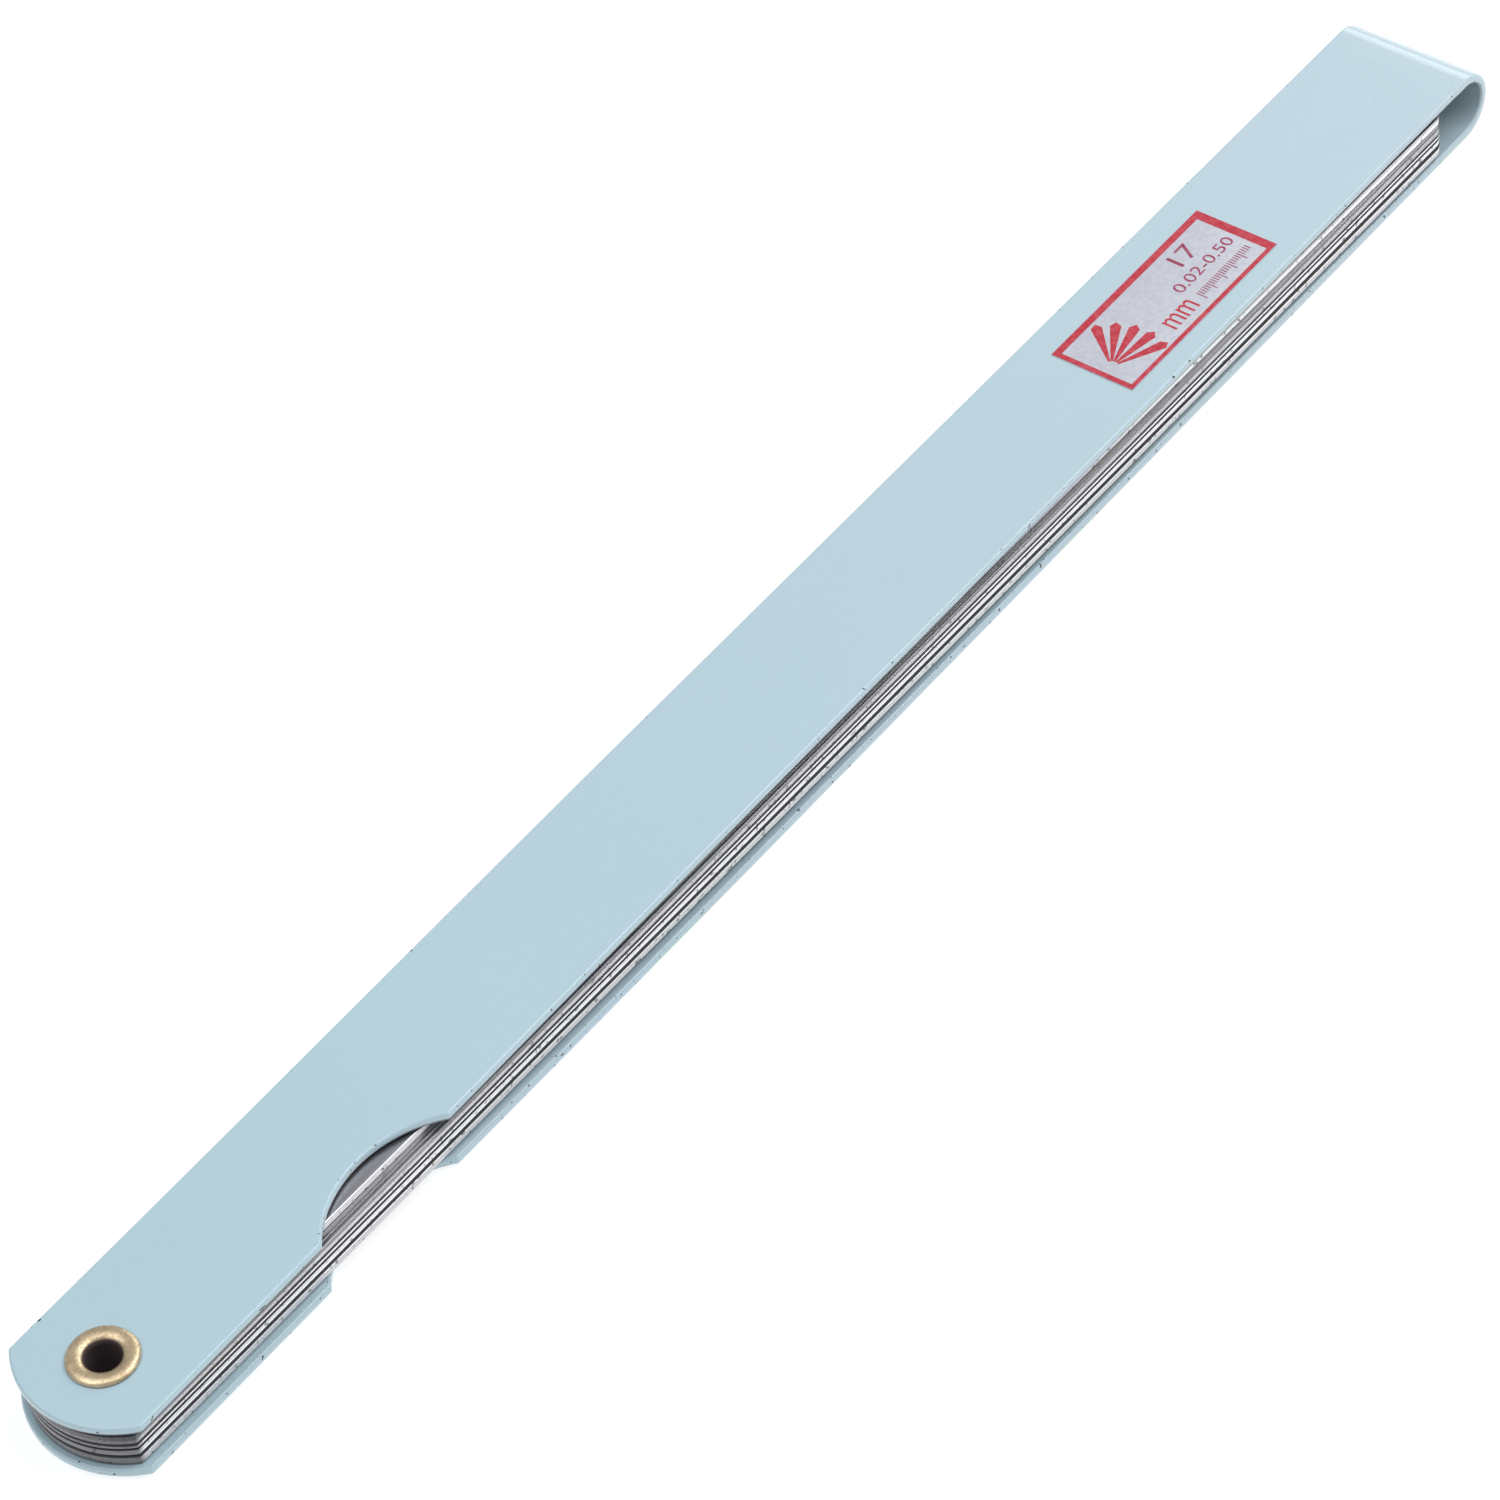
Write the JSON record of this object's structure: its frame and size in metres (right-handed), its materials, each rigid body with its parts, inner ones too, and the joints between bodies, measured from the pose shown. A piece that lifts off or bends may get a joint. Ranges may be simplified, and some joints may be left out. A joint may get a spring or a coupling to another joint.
{
  "type": "feeler gauge",
  "caption": "Folding feeler gauge: thin steel leaves of graded thickness that swing on a hollow brass eyelet, out of a pale blue folded steel case with a thumb notch.",
  "frame": {"origin": "on the pivot axis, at the middle of the eyelet's bore, midway between the two covers", "axes": "+Z along the pivot, up out of the labelled cover; +X along the case from the pivot to the fold; -Y towards the thumb notch"},
  "size_m": [0.156, 0.0114, 0.0057],
  "materials": {
    "enamel": "gloss",
    "eyelet_brass": "worn",
    "label_foil": "printed",
    "leaf_steel": "ground"
  },
  "bodies": {
    "holder": {"upper_cover": "enamel", "lower_cover": "enamel", "cover_fold": "enamel", "eyelet": "eyelet_brass", "label": "label_foil"},
    "leaf_0_50": {"leaf_0_50": "leaf_steel"},
    "leaf_0_02": {"leaf_0_02": "leaf_steel"},
    "leaf_0_03": {"leaf_0_03": "leaf_steel"},
    "leaf_0_04": {"leaf_0_04": "leaf_steel"},
    "leaf_0_05": {"leaf_0_05": "leaf_steel"},
    "leaf_0_06": {"leaf_0_06": "leaf_steel"},
    "leaf_0_07": {"leaf_0_07": "leaf_steel"},
    "leaf_0_08": {"leaf_0_08": "leaf_steel"},
    "leaf_0_09": {"leaf_0_09": "leaf_steel"},
    "leaf_0_10": {"leaf_0_10": "leaf_steel"},
    "leaf_0_15": {"leaf_0_15": "leaf_steel"},
    "leaf_0_20": {"leaf_0_20": "leaf_steel"},
    "leaf_0_25": {"leaf_0_25": "leaf_steel"},
    "leaf_0_30": {"leaf_0_30": "leaf_steel"},
    "leaf_0_35": {"leaf_0_35": "leaf_steel"},
    "leaf_0_40": {"leaf_0_40": "leaf_steel"},
    "leaf_0_45": {"leaf_0_45": "leaf_steel"}
  },
  "joints": [
    {"name": "leaf_0_50_swing", "type": "hinge", "parent": "holder", "child": "leaf_0_50", "pos_m": [0, 0, 0], "axis": [0, 0, 1], "range_deg": [-180, 180]},
    {"name": "leaf_0_02_swing", "type": "hinge", "parent": "holder", "child": "leaf_0_02", "pos_m": [0, 0, 0], "axis": [0, 0, 1], "range_deg": [-180, 180]},
    {"name": "leaf_0_03_swing", "type": "hinge", "parent": "holder", "child": "leaf_0_03", "pos_m": [0, 0, 0], "axis": [0, 0, 1], "range_deg": [-180, 180]},
    {"name": "leaf_0_04_swing", "type": "hinge", "parent": "holder", "child": "leaf_0_04", "pos_m": [0, 0, 0], "axis": [0, 0, 1], "range_deg": [-180, 180]},
    {"name": "leaf_0_05_swing", "type": "hinge", "parent": "holder", "child": "leaf_0_05", "pos_m": [0, 0, 0], "axis": [0, 0, 1], "range_deg": [-180, 180]},
    {"name": "leaf_0_06_swing", "type": "hinge", "parent": "holder", "child": "leaf_0_06", "pos_m": [0, 0, 0], "axis": [0, 0, 1], "range_deg": [-180, 180]},
    {"name": "leaf_0_07_swing", "type": "hinge", "parent": "holder", "child": "leaf_0_07", "pos_m": [0, 0, 0], "axis": [0, 0, 1], "range_deg": [-180, 180]},
    {"name": "leaf_0_08_swing", "type": "hinge", "parent": "holder", "child": "leaf_0_08", "pos_m": [0, 0, 0], "axis": [0, 0, 1], "range_deg": [-180, 180]},
    {"name": "leaf_0_09_swing", "type": "hinge", "parent": "holder", "child": "leaf_0_09", "pos_m": [0, 0, 0], "axis": [0, 0, 1], "range_deg": [-180, 180]},
    {"name": "leaf_0_10_swing", "type": "hinge", "parent": "holder", "child": "leaf_0_10", "pos_m": [0, 0, 0], "axis": [0, 0, 1], "range_deg": [-180, 180]},
    {"name": "leaf_0_15_swing", "type": "hinge", "parent": "holder", "child": "leaf_0_15", "pos_m": [0, 0, 0], "axis": [0, 0, 1], "range_deg": [-180, 180]},
    {"name": "leaf_0_20_swing", "type": "hinge", "parent": "holder", "child": "leaf_0_20", "pos_m": [0, 0, 0], "axis": [0, 0, 1], "range_deg": [-180, 180]},
    {"name": "leaf_0_25_swing", "type": "hinge", "parent": "holder", "child": "leaf_0_25", "pos_m": [0, 0, 0], "axis": [0, 0, 1], "range_deg": [-180, 180]},
    {"name": "leaf_0_30_swing", "type": "hinge", "parent": "holder", "child": "leaf_0_30", "pos_m": [0, 0, 0], "axis": [0, 0, 1], "range_deg": [-180, 180]},
    {"name": "leaf_0_35_swing", "type": "hinge", "parent": "holder", "child": "leaf_0_35", "pos_m": [0, 0, 0], "axis": [0, 0, 1], "range_deg": [-180, 180]},
    {"name": "leaf_0_40_swing", "type": "hinge", "parent": "holder", "child": "leaf_0_40", "pos_m": [0, 0, 0], "axis": [0, 0, 1], "range_deg": [-180, 180]},
    {"name": "leaf_0_45_swing", "type": "hinge", "parent": "holder", "child": "leaf_0_45", "pos_m": [0, 0, 0], "axis": [0, 0, 1], "range_deg": [-180, 180]}
  ]
}
